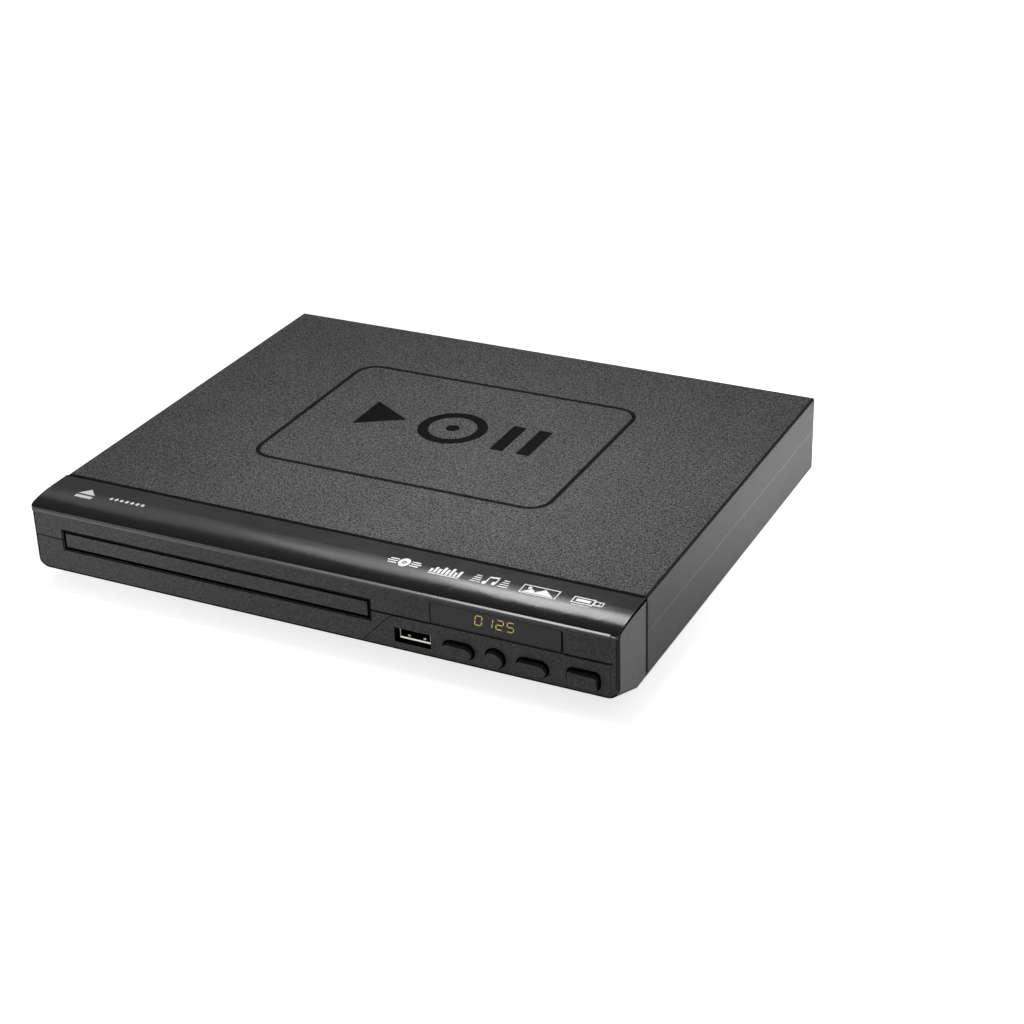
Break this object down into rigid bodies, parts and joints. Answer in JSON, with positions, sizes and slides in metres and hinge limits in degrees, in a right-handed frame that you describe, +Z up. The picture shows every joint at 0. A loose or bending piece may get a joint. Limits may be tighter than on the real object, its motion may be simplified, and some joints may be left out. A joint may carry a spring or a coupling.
{
  "type": "disc player",
  "caption": "Low disc player with a motorised tray, gloss front hood, display window, front buttons and memory stick socket, with its loader, pickup and boards inside.",
  "frame": {"origin": "on the floor under the middle of the player", "axes": "+X to the player's right seen from the front, +Y to the rear, +Z up; the front faces -Y"},
  "size_m": [0.255, 0.2204, 0.0369],
  "materials": {
    "case_grey": "fine grain",
    "bezel_grey": "satin",
    "gloss_black": "polished",
    "button_grey": "satin",
    "steel": "brushed",
    "bright_metal": "nickel plated",
    "aluminium": "satin",
    "black_plastic": "matte",
    "white_plastic": "matte",
    "yellow_plastic": "gloss",
    "red_plastic": "gloss",
    "board_green": "solder mask",
    "lens_glass": "polished",
    "rubber": "matte",
    "winding_tape": "matte"
  },
  "bodies": {
    "case": {"bottom_case": "case_grey", "top_cover": "case_grey", "front_bezel": "bezel_grey", "hood": "gloss_black", "display_window": "gloss_black", "button_panel": "bezel_grey", "usb_shell": "steel", "usb_tongue": "black_plastic", "front_board": "board_green", "tact_switches": "black_plastic", "display_module": "black_plastic", "ir_receiver": "black_plastic", "loader_frame": "black_plastic", "loading_motor": "steel", "drive_belt": "rubber", "clamp_bridge": "steel", "rear_panel": "case_grey", "jack_block": "black_plastic", "video_jack_insert": "yellow_plastic", "left_jack_insert": "white_plastic", "right_jack_insert": "red_plastic", "jack_barrels": "bright_metal", "hdmi_shell": "bright_metal", "hdmi_tongue": "black_plastic", "mains_inlet": "black_plastic", "inlet_pins": "bright_metal", "main_board": "board_green", "power_board": "board_green", "decoder_chip": "black_plastic", "heat_sink": "aluminium", "capacitors": "aluminium", "transformer": "winding_tape", "front_ribbon": "white_plastic", "power_lead": "white_plastic", "feet": "rubber", "case_screws": "steel", "inner_screws": "steel"},
    "tray": {"disc_tray": "black_plastic", "tray_door": "bezel_grey"},
    "drive_gear": {"drive_gear": "white_plastic"},
    "pulley_gear": {"pulley_gear": "white_plastic"},
    "motor_pulley": {"motor_pulley": "white_plastic"},
    "cam_slider": {"cam_slider": "white_plastic"},
    "traverse": {"traverse_base": "steel", "pivot_shaft": "steel", "guide_rods": "bright_metal", "spindle_motor": "steel", "feed_motor": "steel"},
    "turntable": {"turntable": "black_plastic"},
    "clamp": {"clamp_puck": "black_plastic", "clamp_magnet": "steel"},
    "pickup": {"pickup_body": "black_plastic", "pickup_lens": "lens_glass"},
    "feed_gear": {"feed_gear": "white_plastic"},
    "feed_pinion": {"feed_pinion": "white_plastic"},
    "open_close_button": {"open_close_button": "button_grey"},
    "play_pause_button": {"play_pause_button": "button_grey"},
    "stop_button": {"stop_button": "button_grey"},
    "power_button": {"power_button": "button_grey"}
  },
  "joints": [
    {"name": "tray_slide", "type": "slide", "parent": "case", "child": "tray", "axis": [0, -1, 0], "range_m": [0, 0.128]},
    {"name": "drive_gear_spin", "type": "hinge", "parent": "case", "child": "drive_gear", "pos_m": [-0.0924, -0.0818, 0.0118], "axis": [0, 0, 1], "range_deg": [0, 918.73]},
    {"name": "pulley_gear_spin", "type": "hinge", "parent": "case", "child": "pulley_gear", "pos_m": [-0.0729, -0.0818, 0.0118], "axis": [0, 0, 1], "range_deg": [-3057.77, 0]},
    {"name": "motor_pulley_spin", "type": "hinge", "parent": "case", "child": "motor_pulley", "pos_m": [-0.0469, -0.0818, 0.0118], "axis": [0, 0, 1], "range_deg": [-8732.79, 0]},
    {"name": "cam_slide", "type": "slide", "parent": "case", "child": "cam_slider", "axis": [1, 0, 0], "range_m": [0, 0.0182]},
    {"name": "traverse_tilt", "type": "hinge", "parent": "case", "child": "traverse", "pos_m": [-0.0434, 0.0362, 0.0147], "axis": [1, 0, 0], "range_deg": [0, 3.02]},
    {"name": "turntable_spin", "type": "hinge", "parent": "traverse", "child": "turntable", "pos_m": [-0.0434, -0.0413, 0.0238], "axis": [0, 0, 1], "continuous": true},
    {"name": "clamp_spin", "type": "hinge", "parent": "case", "child": "clamp", "pos_m": [-0.0434, -0.0413, 0.0238], "axis": [0, 0, 1], "continuous": true},
    {"name": "pickup_slide", "type": "slide", "parent": "traverse", "child": "pickup", "axis": [0, 1, 0], "range_m": [0, 0.035]},
    {"name": "feed_gear_spin", "type": "hinge", "parent": "traverse", "child": "feed_gear", "pos_m": [-0.0049, 0.0002, 0.016], "axis": [0, 0, 1], "range_deg": [-447.63, 0]},
    {"name": "feed_pinion_spin", "type": "hinge", "parent": "traverse", "child": "feed_pinion", "pos_m": [-0.0049, 0.0134, 0.016], "axis": [0, 0, 1], "range_deg": [0, 1190.36]},
    {"name": "open_close_press", "type": "slide", "parent": "case", "child": "open_close_button", "axis": [0, 1, 0], "range_m": [0, 0.0006], "stiffness_N_per_m": 800},
    {"name": "play_pause_press", "type": "slide", "parent": "case", "child": "play_pause_button", "axis": [0, 1, 0], "range_m": [0, 0.0006], "stiffness_N_per_m": 800},
    {"name": "stop_press", "type": "slide", "parent": "case", "child": "stop_button", "axis": [0, 1, 0], "range_m": [0, 0.0006], "stiffness_N_per_m": 800},
    {"name": "power_press", "type": "slide", "parent": "case", "child": "power_button", "axis": [0, 1, 0], "range_m": [0, 0.0006], "stiffness_N_per_m": 800}
  ],
  "couplings": [
    {"joint": "drive_gear_spin", "follows": "tray_slide", "rad_per_m": 125},
    {"joint": "pulley_gear_spin", "follows": "tray_slide", "rad_per_m": -416.67},
    {"joint": "motor_pulley_spin", "follows": "tray_slide", "rad_per_m": -1190.5},
    {"joint": "cam_slide", "follows": "tray_slide", "ratio": 0.14062},
    {"joint": "traverse_tilt", "follows": "tray_slide", "rad_per_m": 0.40906},
    {"joint": "clamp_spin", "follows": "turntable_spin", "ratio": 1},
    {"joint": "feed_gear_spin", "follows": "pickup_slide", "rad_per_m": -222.22},
    {"joint": "feed_pinion_spin", "follows": "pickup_slide", "rad_per_m": 592.59}
  ]
}
